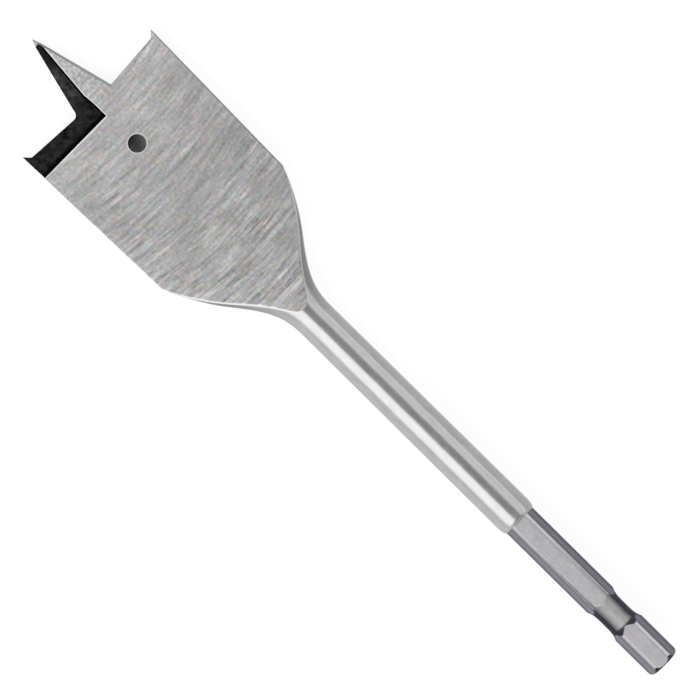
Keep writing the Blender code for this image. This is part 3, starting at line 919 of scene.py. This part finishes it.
def shank_finish(colours):
    """Steel painted lighter on the top and bottom flats, and painted shade in dark violet on the sides and
    the end face, mixed by the share of painted light that the mesh carries. The groove and the end's
    rounding are rougher, and painted darker."""
    material, tree, inputs = new_material("shank_finish", colours.hex_bare, roughness=0.42)
    place = own_place(tree)
    blotches = noise_on(tree, place, SHANK_BLOTCHES)
    painted_light, groove, tone = (
        add_node(tree, "Attribute", attribute_name=name).outputs["Fac"]
        for name in ATTRIBUTES
    )
    uneven = reckon(tree, "MULTIPLY_ADD", blotches, BLOTCH_SHARE, -BLOTCH_SHARE / 2)
    # Painted light on the top and bottom flats and painted shade on the sides, on the hex and in the groove
    light_share = spread(tree, reckon(tree, "ADD", painted_light, uneven), *PAINTED_LIGHT_RAMP)
    flats = mixed(tree, light_share, opaque(colours.hex_skin), opaque(colours.hex_bare))
    turned = mixed(tree, light_share, opaque(colours.groove_skin), opaque(colours.groove_bare))
    off_end = spread(tree, normal_parts(tree)[0], *OFF_END_FACE)
    metal = mixed(tree, product(tree, groove, off_end), flats, turned)
    marks = spread(tree, noise_on(tree, place, SHANK_MARKS), *SCALE_SHADE)
    tint = tinted(tree, metal, product(tree, marks, tone))
    tree.links.new(tint, inputs["Base Color"])
    dull = spread(tree, blotches, *BLOTCH_ROUGHNESS)
    rough = reckon(tree, "MULTIPLY_ADD", groove, GROOVE_ROUGHNESS, dull)
    tree.links.new(rough, inputs["Roughness"])
    add_bump(tree, inputs, blotches, SHANK_DEPTH)
    return material


def black_finish(colours):
    """Matt black coat with a fine grain. It is lighter half way along the point, and painted darker as
    shade at the foot of the wall."""
    sheen = {"roughness": 0.55, "metallic": 0.0, "specular": 0.03}
    material, tree, inputs = new_material("black_finish", colours.coat, **sheen)
    place = own_place(tree)
    x = parts_of(tree, place)[0]
    grain = noise_on(tree, place, COAT_GRAIN)
    point_lighter = spread(tree, window(tree, x, *LIGHTER_POINT_X, LIGHTER_POINT_FADE), *LIGHTER_POINT_COAT)
    point_grain = product(tree, spread(tree, grain, *COAT_SHADE), point_lighter)
    # Painted shade at the foot of the wall
    shade = product(tree, point_grain, spread(tree, x, *WALL_FOOT_SHADE))
    tree.links.new(tinted(tree, opaque(colours.coat), shade), inputs["Base Color"])
    add_bump(tree, inputs, grain, COAT_DEPTH)
    return material


def shaded_wall_coat(colours):
    """The black coat on the hollows' walls and in the hang hole, painted darker as the shade in these
    recesses.
    """
    sheen = {"roughness": 0.7, "metallic": 0.0, "specular": 0.0}
    material, tree, inputs = new_material("shaded_wall_coat", colours.coat_wall, **sheen)
    shade = spread(tree, noise_on(tree, own_place(tree), WALL_GRAIN), *WALL_SHADE)
    tree.links.new(tinted(tree, opaque(colours.coat_wall), shade), inputs["Base Color"])
    return material


class SPADEBIT_OT_forged_body(bpy.types.Operator):
    """Make the round shaft, the flare and the rear of the blade as one grid of rings"""

    bl_idname = "spadebit.forged_body"
    bl_label = "Forged body"

    def execute(self, context):
        sizes = context.scene.spade_bit_blade
        points = body_points(*body_stations(sizes), sizes)
        mesh = tube_mesh("forged_body", points, face_quads(*points.shape[:2]))
        add_piece(mesh, (turned_finish, ground_finish))
        return {"FINISHED"}


class SPADEBIT_OT_hex_shank(bpy.types.Operator):
    """Make the hex shank with its eased corners, its groove and its rounded end"""

    bl_idname = "spadebit.hex_shank"
    bl_label = "Hex shank"

    def execute(self, context):
        shank = context.scene.spade_bit_shank
        points = hex_points(*hex_stations(shank, context.scene.spade_bit_blade), shank)
        mesh = tube_mesh("hex_shank", points)
        mark_bare_steel(mesh, shank)
        add_piece(mesh, (shank_finish,))
        return {"FINISHED"}


class SPADEBIT_OT_cutting_nose(bpy.types.Operator):
    """Make the nose with the point, lips, spurs, hollows and hang hole, and coat the hollows"""

    bl_idname = "spadebit.cutting_nose"
    bl_label = "Cutting nose"

    def execute(self, context):
        sizes = context.scene.spade_bit_blade
        mesh = nose_mesh("cutting_nose", sizes)
        mesh.polygons.foreach_set("material_index", hollow_materials(mesh, sizes))
        add_piece(mesh, (ground_finish, black_finish, shaded_wall_coat, turned_finish))
        return {"FINISHED"}


def floor_points(origin, slope):
    """Round floor with a raised rim. Its height is nought out to the flat's radius and then a quarter
    cosine up to the wall's height, and the whole leans about Y by the slope through the origin."""
    reach = FLOOR_FLAT_RADIUS + FLOOR_WALL_REACH
    radius = reach * np.linspace(0.0, 1.0, FLOOR_RINGS)[:, None]
    angle = np.arange(FLOOR_COLUMNS) * 2 * pi / FLOOR_COLUMNS
    share = np.clip((radius - FLOOR_FLAT_RADIUS) / FLOOR_WALL_REACH, 0.0, 1.0)
    rise = FLOOR_WALL_HEIGHT * (1 - np.cos(share * pi / 2))
    x = origin.x + radius * np.cos(angle)
    z = origin.z + slope * (x - origin.x) + rise
    return np.stack([x, radius * np.sin(angle), z], axis=-1)


def rest_plane():
    """The plane that the bit rests on, as a point and a slope along X: it touches the bit in front of
    its centre at the spurs and behind at the lowest place of the neck."""
    points = vectors_of(SOLID.vertices, "co")
    front = points[points[:, 0] > REST_MIDDLE_X]
    behind = points[points[:, 0] <= REST_MIDDLE_X]
    slopes = (front[:, None, 2] - behind[None, :, 2]) / (front[:, None, 0] - behind[None, :, 0])
    at_middle = front[:, None, 2] + slopes * (REST_MIDDLE_X - front[:, None, 0])
    lowest = np.unravel_index(np.argmin(at_middle), at_middle.shape)
    return Vector((REST_MIDDLE_X, 0.0, float(at_middle[lowest]))), float(slopes[lowest])


def floor_material(studio):
    """Plain pale floor, which keeps the shadow. The camera and the steel see part of it glow, so that
    it stays white, except under the hang hole, where a darker shadow is painted on it."""
    material = bpy.data.materials.new("pale_floor")
    material.use_nodes = True
    tree = material.node_tree
    tree.nodes.clear()
    output = add_node(tree, "OutputMaterial")
    place = own_place(tree)
    # Painted shadow under the hang hole: a darker colour, and no glow
    clear = spread(tree, distance_from(tree, place, HOLE_SHADOW_CENTRE), *CLEAR_OF_HOLE_SHADOW)
    pale = mixed(tree, clear, opaque(HOLE_SHADOW_COLOUR), opaque(studio.floor))
    plain = add_node(tree, "BsdfDiffuse", Color=pale).outputs["BSDF"]
    glow = add_node(tree, "Emission", Strength=GLOW_STRENGTH).outputs["Emission"]
    share = spread(tree, distance_from(tree, place, HANG_HOLE), *FLOOR_GLOW)
    rays = add_node(tree, "LightPath").outputs
    either = reckon(tree, "MAXIMUM", rays["Is Camera Ray"], rays["Is Glossy Ray"])
    seen = reckon(tree, "MAXIMUM", either, rays["Is Transmission Ray"])
    lit = mixed_shader(tree, share, plain, glow)
    tree.links.new(mixed_shader(tree, seen, plain, lit), output.inputs["Surface"])
    return material


def softbox(name, turn, spread_angle, length, radiance):
    """A soft lamp turned about the bit from straight above and aimed at it. Seen from there it is
    spread_angle wide, and its energy gives its face the radiance."""
    width = 2 * LAMP_DISTANCE * tan(spread_angle / 2)
    data = bpy.data.lights.new(name, "AREA")
    data.shape = "RECTANGLE"
    data.size = length
    data.size_y = width
    data.energy = radiance * pi * length * width
    away = Matrix.Translation((0.0, 0.0, LAMP_DISTANCE))
    add_object(name, data).matrix_world = Matrix.Translation(PICTURE_MIDDLE) @ turn @ away


def add_camera(studio):
    """A long lens straight above the picture's middle, turned so that the bit lies as in the photo."""
    data = bpy.data.cameras.new("camera")
    data.lens = data.sensor_width * studio.camera_distance / studio.view_width
    data.clip_start, data.clip_end = CAMERA_CLIP
    camera = add_object("camera", data)
    roll = Matrix.Rotation(CAMERA_ROLL, 4, "X")
    turn = Matrix((PICTURE_RIGHT, PICTURE_UP, Vector((0.0, 0.0, 1.0)))).transposed().to_4x4()
    back = Matrix.Translation((0.0, 0.0, studio.camera_distance))
    camera.matrix_world = Matrix.Translation(PICTURE_MIDDLE) @ roll @ back @ turn
    bpy.context.scene.camera = camera


class SPADEBIT_OT_studio(bpy.types.Operator):
    """Make the pale floor, the soft lights and the camera"""

    bl_idname = "spadebit.studio"
    bl_label = "Studio"

    def execute(self, context):
        studio = context.scene.spade_bit_studio
        mesh = tube_mesh("floor", floor_points(*rest_plane()), closed=False)
        mesh.materials.append(floor_material(studio))
        floor = add_object("floor", mesh)
        world = bpy.data.worlds.new("room")
        world.use_nodes = True
        background = world.node_tree.nodes["Background"]
        background.inputs["Color"].default_value = opaque((studio.surround,) * 3)
        context.scene.world = world
        for name, axis, turn, roll, width, length in SOFTBOXES:
            rolled = Matrix.Rotation(radians(roll), 4, "Z")
            turned = Matrix.Rotation(radians(turn), 4, axis) @ rolled
            radiance = getattr(studio, f"{name}_box")
            softbox(f"{name}_softbox", turned, radians(width), length, radiance)
        context.scene.view_settings.view_transform = "Standard"
        add_camera(studio)
        return {"FINISHED"}


OPERATORS = (
    SPADEBIT_OT_forged_body,
    SPADEBIT_OT_hex_shank,
    SPADEBIT_OT_cutting_nose,
    SPADEBIT_OT_studio,
)


class SPADEBIT_PT_sidebar(bpy.types.Panel):
    """The bit's operators and sizes in the sidebar"""

    bl_label = "Spade bit"
    bl_space_type = "VIEW_3D"
    bl_region_type = "UI"
    bl_category = "Spade bit"

    def draw(self, context):
        layout = self.layout
        for operator in OPERATORS:
            layout.operator(operator.bl_idname)
        for name, group in GROUPS.items():
            box = layout.box()
            for key in group.__annotations__:
                box.prop(getattr(context.scene, name), key)


GROUPS = {
    "spade_bit_blade": SpadeBitBladeSizes,
    "spade_bit_shank": SpadeBitShankSizes,
    "spade_bit_colours": SpadeBitColours,
    "spade_bit_studio": SpadeBitStudio,
}
CLASSES = (*GROUPS.values(), *OPERATORS, SPADEBIT_PT_sidebar)


def register():
    for item in CLASSES:
        bpy.utils.register_class(item)
    for name, group in GROUPS.items():
        setattr(bpy.types.Scene, name, PointerProperty(type=group))


def unregister():
    for name in GROUPS:
        delattr(bpy.types.Scene, name)
    for item in reversed(CLASSES):
        bpy.utils.unregister_class(item)


def main():
    """Makes the bit and its stage."""
    register()
    bpy.ops.spadebit.forged_body()
    bpy.ops.spadebit.hex_shank()
    bpy.ops.spadebit.cutting_nose()
    bpy.ops.spadebit.studio()


if __name__ == "__main__":
    main()
